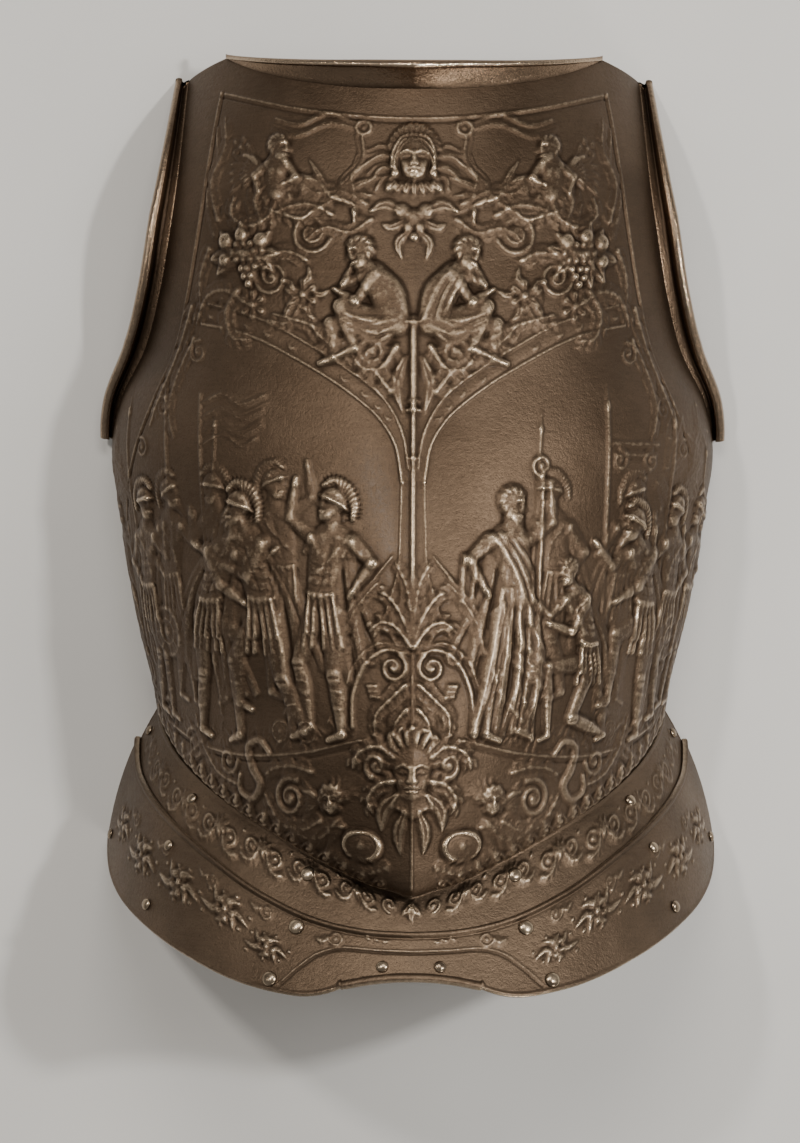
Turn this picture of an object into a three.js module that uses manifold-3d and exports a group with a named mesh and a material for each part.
import * as THREE from 'three';
import { mergeVertices } from 'three/addons/utils/BufferGeometryUtils.js';
import Module from 'manifold-3d';

// The front of a cuirass: an embossed breastplate of peascod form with a fauld of two lames.
// It lies on its open back. X runs across the chest, Y from the fauld's rim up to the neck, Z out of the
// chest. Lengths are in millimetres. The shapes are first laid out from the fauld's rim, at Y = 0, and the
// finished group is moved so that the origin lies under the middle of the whole object's box.

const wasm = await Module();
wasm.setup();

// Driving dimensions
const BODY_LENGTH = 438;      // from the point of the waist up the middle to the neck line
const CHEST_HALF = 176;       // half the breadth of the chest under the arms
const BODY_DEPTH = 187;       // from the surface it lies on to the crest of the ridge
const PLATE = 1.8;            // wall of the breastplate
const LAME = 1.5;             // wall of a lame
const SEAT_GAP = 0.4;         // clearance between pieces that lie on each other
const FAULD_DROP = 55.3;      // from the point of the waist down to the fauld's rim
const FAULD_RISE = 95.7;      // how far the waist rises from its point to the sides
const FAULD_FLARE = 28;       // how far each side of the fauld stands out from waist to rim
const NECK_RISE = 24;         // from the middle of the neck line up to its corners
const NECK_FLANGE = 13;       // height of the neck flange at its middle
const FLANGE_LEAN = 9;        // how far the neck flange leans forward at its middle
const KEEL_LEAN = 5;          // how much further its pointed middle comes forward
const SHOULDER_DROP = 9.5;    // from the neck's corners down to the shoulder tips
const ARM_LOW = 247;          // from the point of the waist up to the lower end of the arm roll
const ROLL_REACH = 9;         // how far the arm roll stands out from the plate's edge
const BEAD_RADIUS = 3.3;      // radius of the rolled bead along arms and neck
const WAIST_TURN = 13;        // height of the belly's turn over the waist at the middle
const SIDE_TURN = 6;          // and at the sides
const SIDE_GAP = 2.6;         // how far the belly stays above the fauld's upper edge at the sides
const SETBACK = 4.4;          // from the upper edge of the fauld in to the turned waist
const ARCH_HALF = 37.4;       // half the width of the arch in the fauld's rim
const ARCH_HEIGHT = 10;       // height of that arch
const ARCH_STEP = 5;          // height of the step at each end of that arch
const SHANK_RADIUS = 1.6;     // radius of a rivet's shank
const SHANK_CLEARANCE = 0.6;  // from the shank to the corners of its six-sided hole
const PEEN_GAP = 1.1;         // between a peened end and the hollow side of the plate it closes on

// Sizes worked out from the driving ones
const TIP_Y = FAULD_DROP;
const NECK_Y = TIP_Y + BODY_LENGTH;
const CORNER_SHARE = 0.7;     // share of the way from ridge to arm edge where the neck's corner lies
const FLOOR_DIP = 1.0;        // how far edges reach below the floor before they are cut level
const COLUMNS = 24;           // facets across from side to side, in every plate alike

// Sections of the breastplate from waist to neck. Columns: place along the body, half width, height of
// the side edge, height of the ridge (shares of BODY_LENGTH, CHEST_HALF, BODY_DEPTH and BODY_DEPTH), wrap in
// degrees from the ridge to the edge, and how much of the section is a straight keel.
const BREAST = [
  [0.000, 0.727, 0.045, 0.984, 90, 0.30],
  [0.105, 0.775, 0.045, 1.000, 90, 0.28],
  [0.217, 0.818, 0.043, 0.985, 90, 0.25],
  [0.331, 0.884, 0.040, 0.932, 90, 0.21],
  [0.445, 0.934, 0.040, 0.872, 90, 0.18],
  [0.564, 0.976, 0.043, 0.806, 88, 0.15],
  [0.610, 0.952, 0.075, 0.775, 84, 0.14],
  [0.680, 0.866, 0.145, 0.728, 78, 0.12],
  [0.747, 0.820, 0.198, 0.680, 74, 0.11],
  [0.822, 0.788, 0.220, 0.622, 71, 0.10],
  [0.872, 0.771, 0.208, 0.582, 70, 0.09],
  [0.954, 0.752, 0.132, 0.512, 70, 0.08],
  [1.034, 0.741, -0.016, 0.444, 74, 0.08],
  [1.060, 0.736, -0.066, 0.420, 76, 0.08],
];

// Edges of the fauld from the middle to the sides. Columns: share of the way round, and how far the waist
// edge, the line between the lames and the rim have risen there, in shares of FAULD_RISE.
const FAULD = [
  [0.00, 0.000, 0.000, 0.000],
  [0.10, 0.077, 0.011, 0.000],
  [0.20, 0.172, 0.057, 0.006],
  [0.35, 0.326, 0.199, 0.064],
  [0.50, 0.478, 0.390, 0.192],
  [0.65, 0.640, 0.568, 0.337],
  [0.80, 0.801, 0.734, 0.487],
  [0.92, 0.916, 0.864, 0.640],
  [1.00, 1.000, 1.000, 0.782],
];
const LINE_DROP = 0.362;                  // waist to line at the middle, share of FAULD_DROP
const FLARE_SHARES = [0, 0.400, 1];       // flare at waist, line and rim, shares of FAULD_FLARE
const LIFT_SHARES = [0.856, 0.914, 1.0];  // height of the middle at waist, line and rim, of BODY_DEPTH
const KEEL_SHARES = [0.24, 0.12, 0.06];   // straight keel in the section at waist, line and rim

const radians = Math.PI / 180;
const mix = (a, b, t) => a + (b - a) * t;
const clamp = (x, low, high) => Math.min(high, Math.max(low, x));

// A smooth line through one column of a table, with three-point slopes at the rows.
function smoothColumn(table, index) {
  const last = table.length - 1;
  const steps = table.slice(1).map((row, i) => row[0] - table[i][0]);
  const slopes = table.slice(1).map((row, i) => (row[index] - table[i][index]) / steps[i]);
  const tangents = table.map((row, i) => {
    if (i === 0) return slopes[0];
    if (i === last) return slopes[last - 1];
    return (steps[i - 1] * slopes[i] + steps[i] * slopes[i - 1]) / (steps[i - 1] + steps[i]);
  });
  return (x) => {
    let i = 0;
    while (i < last - 1 && x > table[i + 1][0]) i += 1;
    const h = steps[i];
    const t = clamp((x - table[i][0]) / h, -0.5, 1.5);
    const s = 1 - t;
    return (1 + 2 * t) * s * s * table[i][index] + t * s * s * h * tangents[i]
      + t * t * (3 - 2 * t) * table[i + 1][index] + t * t * (t - 1) * h * tangents[i + 1];
  };
}

// One point of a section: u runs from -1 at one edge over 0 at the ridge to 1 at the other edge.
function section(u, half, edge, ridge, wrap, keel) {
  const full = wrap * radians;
  const turn = Math.abs(u) * full;
  const out = Math.sin(turn) / Math.sin(full);
  const round = (Math.cos(turn) - Math.cos(full)) / (1 - Math.cos(full));
  const z = edge + (ridge - edge) * ((1 - keel) * round + keel * (1 - out));
  return [Math.sign(u) * half * out, z];
}

const [halfLine, edgeLine, ridgeLine, wrapLine, keelLine] = [1, 2, 3, 4, 5].map(
  (index) => smoothColumn(BREAST, index));
const halfWidthAt = (y) => halfLine((y - TIP_Y) / BODY_LENGTH) * CHEST_HALF;
function breastPoint(u, y) {
  const t = (y - TIP_Y) / BODY_LENGTH;
  const edge = edgeLine(t) * BODY_DEPTH;
  const ridge = ridgeLine(t) * BODY_DEPTH;
  const [x, z] = section(u, halfWidthAt(y), edge, ridge, wrapLine(t), keelLine(t));
  return new THREE.Vector3(x, y, z);
}

// The neck line between its corners, and the shoulders from the corners down to the tips.
function topEdge(u) {
  const across = Math.abs(u) / CORNER_SHARE;
  if (across <= 1) return NECK_Y + NECK_RISE * Math.pow(across, 2.2);
  const past = (Math.abs(u) - CORNER_SHARE) / (1 - CORNER_SHARE);
  return NECK_Y + NECK_RISE - SHOULDER_DROP * past;
}

// The fauld's skin: w runs round it as u does, s is 0 at the waist, 1 at the line and 2 at the rim.
const sideRow = BREAST[2];
const WAIST_HALF = sideRow[1] * CHEST_HALF;
const EDGE_DROPS = [0, LINE_DROP, 1].map((share) => share * FAULD_DROP);
const riseLines = [1, 2, 3].map((index) => smoothColumn(FAULD, index));
function fauldEdge(j, w) {
  const y = TIP_Y - EDGE_DROPS[j] + riseLines[j](Math.abs(w)) * FAULD_RISE;
  const half = WAIST_HALF + FLARE_SHARES[j] * FAULD_FLARE;
  const [x, z] = section(w, half, -FLOOR_DIP, LIFT_SHARES[j] * BODY_DEPTH, 90, KEEL_SHARES[j]);
  return new THREE.Vector3(x, y, z);
}
function fauldPoint(w, s) {
  const [waist, line, rim] = [0, 1, 2].map((j) => fauldEdge(j, w));
  const knot = waist.distanceTo(line) / (waist.distanceTo(line) + line.distanceTo(rim));
  const t = s < 1 ? s * knot : knot + (s - 1) * (1 - knot);
  waist.multiplyScalar((t - knot) * (t - 1) / knot);
  line.multiplyScalar(t * (t - 1) / (knot * (knot - 1)));
  rim.multiplyScalar(t * (t - knot) / (1 - knot));
  return waist.add(line).add(rim);
}

// The outward normal of a skin, from small steps along both of its directions.
function normalOf(skin, a, b, stepA, stepB) {
  const along = skin(a + stepA, b).sub(skin(a - stepA, b));
  const up = skin(a, b + stepB).sub(skin(a, b - stepB));
  return along.cross(up).normalize();
}
const fauldNormal = (w, s) => normalOf(fauldPoint, w, s, 0.01, 0.02).negate();
const breastNormal = (u, y) => normalOf(breastPoint, u, y, 0.01, 1.0);
function onFauld(w, s, lift) {
  return fauldPoint(w, s).addScaledVector(fauldNormal(w, s), lift);
}

// Solids. A mesh with shared vertices becomes a solid that can be joined and cut.
function toSolid(geometry) {
  const bare = new THREE.BufferGeometry();
  bare.setAttribute('position', geometry.getAttribute('position').clone());
  if (geometry.index) bare.setIndex(geometry.index.clone());
  const merged = mergeVertices(bare, 1e-5);
  const vertProperties = new Float32Array(merged.getAttribute('position').array);
  const triVerts = new Uint32Array(merged.index.array);
  return new wasm.Manifold(new wasm.Mesh({ numProp: 3, vertProperties, triVerts }));
}
function toGeometry(solid) {
  const mesh = solid.getMesh();
  const geometry = new THREE.BufferGeometry();
  geometry.setAttribute('position', new THREE.BufferAttribute(new Float32Array(mesh.vertProperties), 3));
  geometry.setIndex(new THREE.BufferAttribute(new Uint32Array(mesh.triVerts), 1));
  geometry.computeVertexNormals();
  return geometry;
}
function fromTriangles(points, triangles) {
  const geometry = new THREE.BufferGeometry();
  geometry.setAttribute('position', new THREE.BufferAttribute(new Float32Array(points.flat()), 3));
  geometry.setIndex(triangles);
  return toSolid(geometry);
}

// A bent plate: rows of outer points, and the same rows moved in along the grid's own normals.
function plateSolid(rows, wall) {
  const high = rows.length;
  const wide = rows[0].length;
  const at = (i, j) => rows[clamp(i, 0, high - 1)][clamp(j, 0, wide - 1)];
  const outer = [];
  const inner = [];
  for (let i = 0; i < high; i += 1) {
    for (let j = 0; j < wide; j += 1) {
      const across = at(i, j + 1).clone().sub(at(i, j - 1));
      const up = at(i + 1, j).clone().sub(at(i - 1, j));
      const normal = across.cross(up).normalize();
      const p = at(i, j);
      outer.push(p.toArray());
      inner.push(p.clone().addScaledVector(normal, -wall).toArray());
    }
  }
  const count = high * wide;
  const triangles = [];
  const quad = (a, b, c, d) => triangles.push(a, b, c, a, c, d);
  for (let i = 0; i < high - 1; i += 1) {
    for (let j = 0; j < wide - 1; j += 1) {
      const a = i * wide + j;
      quad(a, a + 1, a + wide + 1, a + wide);
      quad(count + a, count + a + wide, count + a + wide + 1, count + a + 1);
    }
  }
  for (let j = 0; j < wide - 1; j += 1) {
    const top = (high - 1) * wide + j;
    quad(j + 1, j, count + j, count + j + 1);
    quad(top, top + 1, count + top + 1, count + top);
  }
  for (let i = 0; i < high - 1; i += 1) {
    const left = i * wide;
    const right = left + wide - 1;
    quad(left, left + wide, count + left + wide, count + left);
    quad(right + wide, right, count + right, count + right + wide);
  }
  return fromTriangles([...outer, ...inner], triangles);
}

// A bar along a row of rings, each ring the same number of points, with its two ends closed.
function barSolid(rings) {
  const sides = rings[0].length;
  const points = rings.flat().map((p) => p.toArray());
  const triangles = [];
  for (let i = 0; i < rings.length - 1; i += 1) {
    for (let k = 0; k < sides; k += 1) {
      const a = i * sides + k;
      const b = i * sides + (k + 1) % sides;
      triangles.push(a, b, b + sides, a, b + sides, a + sides);
    }
  }
  const end = (rings.length - 1) * sides;
  for (let k = 1; k < sides - 1; k += 1) {
    triangles.push(0, k + 1, k, end, end + k, end + k + 1);
  }
  const solid = fromTriangles(points, triangles);
  if (solid.volume() > 0) return solid;
  const turned = [];
  for (let t = 0; t < triangles.length; t += 3) {
    turned.push(triangles[t], triangles[t + 2], triangles[t + 1]);
  }
  return fromTriangles(points, turned);
}

// The shell of the breastplate. Its lowest rows follow the fauld's stations, so that the waist flange
// lies facet to facet under the upper lame.
const BODY_ROWS = 15;
const TURN_ROWS = 3;
const FLANGE_STATIONS = [0, 0.34, 0.72];
function shellColumn(w) {
  const edge = fauldEdge(0, w);
  const around = Math.asin(clamp(Math.abs(edge.x) / halfWidthAt(edge.y), 0, 1)) / (90 * radians);
  const low = Math.abs(w) === 1 ? w : Math.sign(w) * around;
  const turnHigh = mix(WAIST_TURN, SIDE_TURN, Math.abs(w));
  const start = edge.y + turnHigh + SIDE_GAP * w * w;
  const points = [];
  for (let i = BODY_ROWS; i >= 0; i -= 1) {
    const t = i / BODY_ROWS;
    points.push(breastPoint(mix(low, w, t * t * (3 - 2 * t)), mix(start, topEdge(w), t)));
  }
  return { points, low, start, turnHigh };
}
function turnPoints(w, shell) {
  const s0 = -SETBACK / fauldPoint(w, 0).distanceTo(fauldPoint(w, 1));
  const seat = -(LAME + SEAT_GAP);
  const foot = onFauld(w, s0, seat);
  const top = shell.points[shell.points.length - 1];
  const above = breastPoint(mix(shell.low, w, 0.001), shell.start + 6);
  const down = top.clone().sub(above).normalize();
  const depth = top.distanceTo(foot);
  const out = breastNormal(shell.low, shell.start);
  const first = shell.turnHigh * mix(1.28, 0.80, Math.abs(w));
  const second = shell.turnHigh * mix(0.38, 0, Math.abs(w));
  const curve = new THREE.CubicBezierCurve3(top,
    top.clone().addScaledVector(down, first),
    foot.clone().addScaledVector(out, depth * 0.55).addScaledVector(down, second),
    foot);
  const points = [];
  for (let i = 1; i <= TURN_ROWS; i += 1) points.push(curve.getPoint(i / TURN_ROWS));
  return points;
}
const stations = Array.from({ length: COLUMNS + 1 }, (_, j) => (2 * j) / COLUMNS - 1);
function shellRows() {
  const columns = stations.map((w) => {
    const shell = shellColumn(w);
    const turn = turnPoints(w, shell);
    const flange = FLANGE_STATIONS.map((s) => onFauld(w, s, -(LAME + SEAT_GAP)));
    return [...shell.points, ...turn, ...flange];
  });
  const rows = columns[0].map((_, i) => columns.map((points) => points[i]));
  return rows.reverse();
}

// The lames: rows of the fauld's skin, on the same stations as the flange under them. Each row is a place
// from waist to rim and how far it is bossed up; the lower lame has an embossed bead along its upper edge.
function lameRows(list, lift) {
  return [...list].reverse().map(([s, boss]) => stations.map((w) => onFauld(w, s, lift + boss)));
}
const LINE_BEAD = 1.3;        // height of the bead along the line between the lames
const UPPER_STATIONS = [[0, 0], [0.34, 0], [0.72, 0], [1.0, 0], [1.36, 0]];
const LOWER_STATIONS = [[1.0, 0], [1.04, LINE_BEAD], [1.09, LINE_BEAD * 0.2], [1.36, 0], [1.72, 0], [2.0, 0]];

// The neck flange stands on the neck line between its corners, leans forward, and ends in a bead.
function neckFlange() {
  const steps = 18;
  const rings = [];
  for (let i = 0; i <= steps; i += 1) {
    const u = mix(-CORNER_SHARE, CORNER_SHARE, i / steps);
    const away = Math.abs(u) / CORNER_SHARE;
    const root = breastPoint(u, topEdge(u));
    const keel = Math.max(0, 1 - away * 4.5);
    const tall = mix(NECK_FLANGE - keel * 1.5, 0.6, Math.pow(away, 2.2));
    const lean = mix(FLANGE_LEAN, 1.5, away) + KEEL_LEAN * keel;
    const rise = new THREE.Vector3(0, tall, lean);
    const length = rise.length();
    rise.normalize();
    const front = new THREE.Vector3(0, -rise.z, rise.y);
    const spot = (a, n) => root.clone().addScaledVector(rise, a).addScaledVector(front, n);
    const bead = BEAD_RADIUS * mix(0.72, 0.40, away);
    rings.push([
      spot(-1.5, -0.4), spot(length - bead, 0), spot(length - bead * 0.4, bead * 0.75),
      spot(length + bead * 0.6, bead * 0.35), spot(length + bead * 0.8, -bead * 0.7),
      spot(length, -PLATE - bead * 0.2), spot(-1.0, -PLATE - 0.2),
    ]);
  }
  return barSolid(rings);
}

// The arm roll: a cove that turns out of the plate's edge and ends in a bead. Each ring lies across the
// edge, with one direction out to the side and one up from the surface.
function armRoll(side) {
  const steps = 11;
  const low = TIP_Y + ARM_LOW;
  const high = topEdge(1);
  const rings = [];
  for (let i = 0; i <= steps; i += 1) {
    const y = mix(low, high, i / steps);
    const root = breastPoint(side, y);
    const along = breastPoint(side, y + 1).sub(breastPoint(side, y - 1)).normalize();
    const out = new THREE.Vector3(side, 0, 0).addScaledVector(along, -side * along.x).normalize();
    const up = new THREE.Vector3().crossVectors(out, along).multiplyScalar(side);
    const t = i / steps;
    const reach = ROLL_REACH * mix(0.4, 1, clamp(t * 4, 0, 1)) * mix(1, 0.5, clamp((t - 0.6) * 2.5, 0, 1));
    const spot = (a, n) => root.clone().addScaledVector(out, a).addScaledVector(up, n);
    const bead = BEAD_RADIUS * mix(1, 0.65, clamp((t - 0.6) * 2.5, 0, 1));
    const ring = [spot(-0.9, 1.9), spot(reach * 0.45, -0.9)];
    for (let k = 0; k < 5; k += 1) {
      const turn = (130 - k * 60) * radians;
      ring.push(spot(reach + bead * Math.cos(turn), 1.2 + bead * Math.sin(turn)));
    }
    ring.push(spot(0.5, -3.6), spot(-2.4, -1.4));
    rings.push(ring);
  }
  return barSolid(rings);
}

// Relief. A place on the breast is given by its arc from the ridge and its height above the waist's point.
function shareAt(arc, y) {
  const parts = 40;
  let before = breastPoint(0, y);
  let length = 0;
  for (let i = 1; i <= parts; i += 1) {
    const next = breastPoint(i / parts, y);
    const step = next.distanceTo(before);
    if (length + step >= Math.abs(arc)) {
      return Math.sign(arc) * (i - 1 + (Math.abs(arc) - length) / step) / parts;
    }
    length += step;
    before = next;
  }
  return Math.sign(arc);
}
function onBreast(arc, up, lift) {
  const y = TIP_Y + up;
  const u = shareAt(arc, y);
  return breastPoint(u, y).addScaledVector(breastNormal(u, y), lift);
}

// A swelling from one place to another: a stretched ball bent to the plate, its underside let into it.
const SINK = 0.9;             // how deep relief is let into the plate, less than its wall
const RELIEF = 5.0;           // height of the boldest relief
function swelling([a1, b1], [a2, b2], halfWidth, proud) {
  const run = new THREE.Vector2(a2 - a1, b2 - b1);
  const turn = Math.atan2(run.y, run.x);
  const half = run.length() / 2 + halfWidth;
  const ball = new THREE.IcosahedronGeometry(1, halfWidth > 11 ? 1 : 0);
  const spots = ball.getAttribute('position');
  for (let i = 0; i < spots.count; i += 1) {
    const x = spots.getX(i) * half;
    const y = spots.getY(i) * halfWidth;
    const lift = Math.max(spots.getZ(i) * (proud + SINK * 0.4) - SINK * 0.4, -SINK);
    const arc = (a1 + a2) / 2 + x * Math.cos(turn) - y * Math.sin(turn);
    const up = (b1 + b2) / 2 + x * Math.sin(turn) + y * Math.cos(turn);
    const p = onBreast(arc, up, lift);
    spots.setXYZ(i, p.x, p.y, p.z);
  }
  return toSolid(ball);
}

// A raised band along a line of places.
const BAND_STEP = 27;         // length of its straight pieces
function band(places, halfWidth, proud) {
  const steps = Math.max(2, Math.round(places.getLength() / BAND_STEP));
  const line = places.getSpacedPoints(steps);
  const rings = line.map((spot, i) => {
    const before = line[Math.max(0, i - 1)];
    const after = line[Math.min(steps, i + 1)];
    const side = new THREE.Vector2(before.y - after.y, after.x - before.x).normalize();
    const at = (a, lift) => onBreast(spot.x + side.x * a, spot.y + side.y * a, lift);
    return [at(-halfWidth, -SINK), at(-halfWidth * 0.5, proud), at(halfWidth * 0.5, proud),
      at(halfWidth, -SINK)];
  });
  return barSolid(rings);
}

// Standing warriors. Columns: two ends across and up, half width, and height of the relief, in shares of
// the figure's height and of RELIEF.
const WARRIOR = [
  [0.00, 0.88, 0.00, 0.95, 0.052, 0.85],
  [0.00, 0.50, 0.01, 0.78, 0.088, 1.00],
  [-0.05, 0.42, -0.07, 0.05, 0.042, 0.70],
  [0.06, 0.42, 0.10, 0.05, 0.042, 0.70],
];
const SPEAR = [0.20, 0.04, 1.16, 0.010, 0.40];
const SHIELD = [-0.17, 0.46, 0.105, 0.70];
// Where they stand. Columns: across in shares of CHEST_HALF, feet and height in shares of BODY_LENGTH,
// the way the figure faces, and whether it carries a spear and a shield.
const WARRIORS = [
  [-1.02, 0.185, 0.31, 1, 1, 0],
  [-0.66, 0.165, 0.34, -1, 1, 1],
  [-0.31, 0.175, 0.32, 1, 0, 0],
  [0.36, 0.175, 0.33, -1, 1, 0],
  [0.72, 0.165, 0.34, 1, 0, 1],
  [1.06, 0.185, 0.31, -1, 1, 0],
];

// Ornament beside the ridge, mirrored. Columns: two ends in shares of CHEST_HALF across and BODY_LENGTH
// up, half width in shares of CHEST_HALF, and height in shares of RELIEF.
const ORNAMENT = [
  [0.17, 0.770, 0.17, 0.785, 0.045, 0.80],
  [0.12, 0.700, 0.16, 0.740, 0.058, 0.90],
  [0.09, 0.675, 0.23, 0.655, 0.040, 0.75],
  [0.43, 0.890, 0.56, 0.915, 0.045, 0.60],
  [0.54, 0.795, 0.64, 0.780, 0.058, 0.65],
  [0.27, 0.118, 0.23, 0.088, 0.045, 0.70],
];
const CREST = [
  [0.00, 0.875, 0.00, 0.910, 0.070, 0.95],
  [0.00, 0.830, 0.00, 0.822, 0.045, 0.75],
  [-0.02, 0.135, 0.02, 0.160, 0.095, 0.95],
];
// Centre lines of the raised bands, as pairs in the same shares: the arches over the two fields, the
// scrolls beside the lower mask, and the stem on the ridge.
const ARCH_BAND = [[0.03, 0.575], [0.11, 0.607], [0.25, 0.655], [0.43, 0.698], [0.68, 0.735]];
const SCROLL_BAND = [[0.40, 0.175], [0.52, 0.150], [0.57, 0.115], [0.66, 0.095], [0.76, 0.120], [0.86, 0.150]];
const STEM_BAND = [[0, 0.245], [0, 0.40], [0, 0.56], [0, 0.72]];
const BAND_HALF = 2.6;        // half width of a raised band
const BAND_PROUD = 1.1;       // its height
const scaled = (a, b) => [a * CHEST_HALF, b * BODY_LENGTH];
const bandLine = (pairs, side) => new THREE.SplineCurve(
  pairs.map(([a, b]) => new THREE.Vector2(side * a * CHEST_HALF, b * BODY_LENGTH)));

function reliefSolids() {
  const solids = [band(bandLine(STEM_BAND, 1), BAND_HALF, BAND_PROUD * 1.3)];
  for (const side of [-1, 1]) {
    for (const pairs of [ARCH_BAND, SCROLL_BAND]) {
      solids.push(band(bandLine(pairs, side), BAND_HALF, BAND_PROUD));
    }
    for (const [a1, b1, a2, b2, wide, proud] of ORNAMENT) {
      solids.push(swelling(scaled(side * a1, b1), scaled(side * a2, b2), wide * CHEST_HALF, proud * RELIEF));
    }
  }
  for (const [a1, b1, a2, b2, wide, proud] of CREST) {
    solids.push(swelling(scaled(a1, b1), scaled(a2, b2), wide * CHEST_HALF, proud * RELIEF));
  }
  for (const [across, feet, share, way, spear, shield] of WARRIORS) {
    const tall = share * BODY_LENGTH;
    const spot = (x, y) => [across * CHEST_HALF + way * x * tall, feet * BODY_LENGTH + y * tall];
    for (const [x1, y1, x2, y2, wide, proud] of WARRIOR) {
      solids.push(swelling(spot(x1, y1), spot(x2, y2), wide * tall, proud * RELIEF));
    }
    if (spear) {
      const [x, low, high, wide, proud] = SPEAR;
      const ends = [spot(x, low), spot(x, (low + high) / 2), spot(x, high)];
      const line = new THREE.SplineCurve(ends.map(([a, b]) => new THREE.Vector2(a, b)));
      solids.push(band(line, wide * tall, proud * RELIEF));
    }
    if (shield) {
      const [x, y, wide, proud] = SHIELD;
      solids.push(swelling(spot(x, y), spot(x, y + 0.001), wide * tall, proud * RELIEF));
    }
  }
  return solids;
}

// Rivets. Columns: name, place round the fauld, place from waist (0) over line (1) to rim (2), radius of
// the head, and the lowest and highest of the plates it passes through: 0 is the breastplate's flange,
// 1 the upper lame, 2 the lower lame. Each place stands for a pair, one on either side.
const RIVETS = [
  ['waist_rivet', 0.244, 0.38, 4.2, 0, 1],
  ['waist_rivet', 0.604, 0.42, 3.4, 0, 1],
  ['flank_rivet', 0.955, 0.50, 3.0, 0, 1],
  ['line_rivet', 0.250, 1.20, 4.2, 1, 2],
  ['line_rivet', 0.622, 1.22, 3.2, 1, 2],
  ['rim_rivet', 0.289, 1.87, 4.2, 2, 2],
  ['rim_rivet', 0.645, 1.82, 3.4, 2, 2],
  ['end_rivet', 0.945, 1.82, 3.0, 2, 2],
  ['arch_rivet', 0.058, 1.52, 3.2, 2, 2],
];
const OUTER_LIFTS = [-(LAME + SEAT_GAP), 0, SEAT_GAP + LAME];
const INNER_LIFTS = [-(LAME + SEAT_GAP + PLATE), -LAME, SEAT_GAP];
const HEAD_SHARE = 0.62;      // height of a head in shares of its radius
const PEEN = 1.0;             // how far the peened end stands out, and its height

const rivetPlaces = [];
const counts = {};
for (const [name, w, s, head, lowest, highest] of RIVETS) {
  for (const side of [-1, 1]) {
    counts[name] = (counts[name] ?? 0) + 1;
    const normal = fauldNormal(side * w, s);
    const seat = onFauld(side * w, s, OUTER_LIFTS[highest]);
    const grip = OUTER_LIFTS[highest] - INNER_LIFTS[lowest];
    rivetPlaces.push({ name: `${name}_${counts[name]}`, normal, seat, grip, head, lowest, highest });
  }
}
const upAxis = new THREE.Vector3(0, 1, 0);
function holeCutter(place) {
  const cutter = new THREE.CylinderGeometry(SHANK_RADIUS + SHANK_CLEARANCE, SHANK_RADIUS + SHANK_CLEARANCE,
    place.grip + 6, 6);
  cutter.applyQuaternion(new THREE.Quaternion().setFromUnitVectors(upAxis, place.normal));
  const middle = place.seat.clone().addScaledVector(place.normal, -place.grip / 2);
  cutter.translate(middle.x, middle.y, middle.z);
  return toSolid(cutter);
}
function rivetMesh(place) {
  const { head, grip } = place;
  const shank = grip + PEEN_GAP;
  const profile = [
    [0, -shank - PEEN], [SHANK_RADIUS + PEEN, -shank], [SHANK_RADIUS, -shank],
    [SHANK_RADIUS, SEAT_GAP], [head, SEAT_GAP],
    [head * 0.72, SEAT_GAP + head * HEAD_SHARE * 0.68], [0, SEAT_GAP + head * HEAD_SHARE],
  ].map(([radius, height]) => new THREE.Vector2(radius, height));
  const mesh = new THREE.Mesh(new THREE.LatheGeometry(profile, 8), rivetSteel.clone());
  mesh.name = place.name;
  mesh.quaternion.setFromUnitVectors(upAxis, place.normal);
  mesh.position.copy(place.seat);
  return mesh;
}

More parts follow.
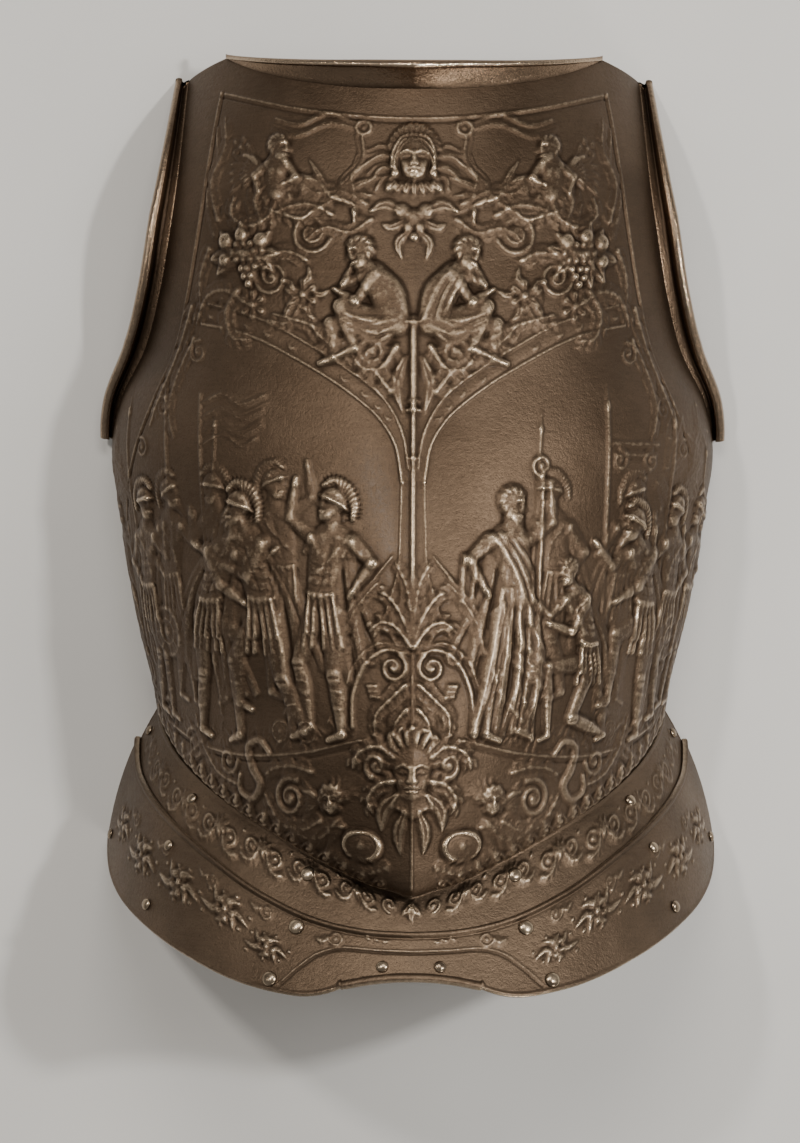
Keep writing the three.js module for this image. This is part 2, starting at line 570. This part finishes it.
// Cuts that several pieces share: the rivet holes, the arch in the rim, and the level floor, which is a
// block under either side, as nothing near the middle reaches down to it.
function floorCutter(side) {
  const span = 6 * CHEST_HALF;
  const block = new THREE.BoxGeometry(span, span, span);
  block.translate(side * (span / 2 + ARCH_HALF), 0, -span / 2);
  return toSolid(block);
}
function archCutter() {
  const shape = new THREE.Shape();
  const foot = ARCH_HEIGHT - ARCH_STEP;
  const low = -FAULD_DROP;
  shape.moveTo(-ARCH_HALF, low);
  shape.lineTo(ARCH_HALF, low);
  shape.lineTo(ARCH_HALF, foot);
  for (let i = 1; i <= 10; i += 1) {
    const x = mix(ARCH_HALF, -ARCH_HALF, i / 10);
    shape.lineTo(x, ARCH_HEIGHT - ARCH_STEP * (x / ARCH_HALF) ** 2);
  }
  shape.closePath();
  const prism = new THREE.ExtrudeGeometry(shape, { depth: BODY_DEPTH * 2, bevelEnabled: false });
  return toSolid(prism);
}
const floors = [-1, 1].map((side) => floorCutter(side));
function drilled(solid, layer) {
  let result = solid;
  for (const floor of floors) result = result.subtract(floor);
  for (const place of rivetPlaces) {
    if (place.lowest <= layer && layer <= place.highest) result = result.subtract(holeCutter(place));
  }
  return result;
}

const plateSteel = new THREE.MeshStandardMaterial({ color: 0x4a3a2c, roughness: 0.45, metalness: 0.9 });
const lameSteel = new THREE.MeshStandardMaterial({ color: 0x4d3c2e, roughness: 0.48, metalness: 0.9 });
const rivetSteel = new THREE.MeshStandardMaterial({ color: 0x9a8466, roughness: 0.35, metalness: 0.95 });

function breastplate() {
  let solid = plateSolid(shellRows(), PLATE);
  for (const piece of [neckFlange(), armRoll(-1), armRoll(1), ...reliefSolids()]) solid = solid.add(piece);
  return drilled(solid, 0);
}
function upperLame() {
  return drilled(plateSolid(lameRows(UPPER_STATIONS, 0), LAME), 1);
}
function lowerLame() {
  const plate = plateSolid(lameRows(LOWER_STATIONS, SEAT_GAP + LAME), LAME);
  return drilled(plate.subtract(archCutter()), 2);
}

function named(name, solid, material) {
  const mesh = new THREE.Mesh(toGeometry(solid), material);
  mesh.name = name;
  return mesh;
}

const cuirass = new THREE.Group();
cuirass.add(named('breastplate', breastplate(), plateSteel));
const fauld = new THREE.Group();
fauld.add(named('upper_fauld_lame', upperLame(), lameSteel));
fauld.add(named('lower_fauld_lame', lowerLame(), lameSteel.clone()));
const rivets = new THREE.Group();
for (const place of rivetPlaces) rivets.add(rivetMesh(place));
cuirass.add(fauld, rivets);

// The origin moves to the floor under the middle of the object's box.
const box = new THREE.Box3().setFromObject(cuirass);
cuirass.position.y = -(box.min.y + box.max.y) / 2;

export default cuirass;
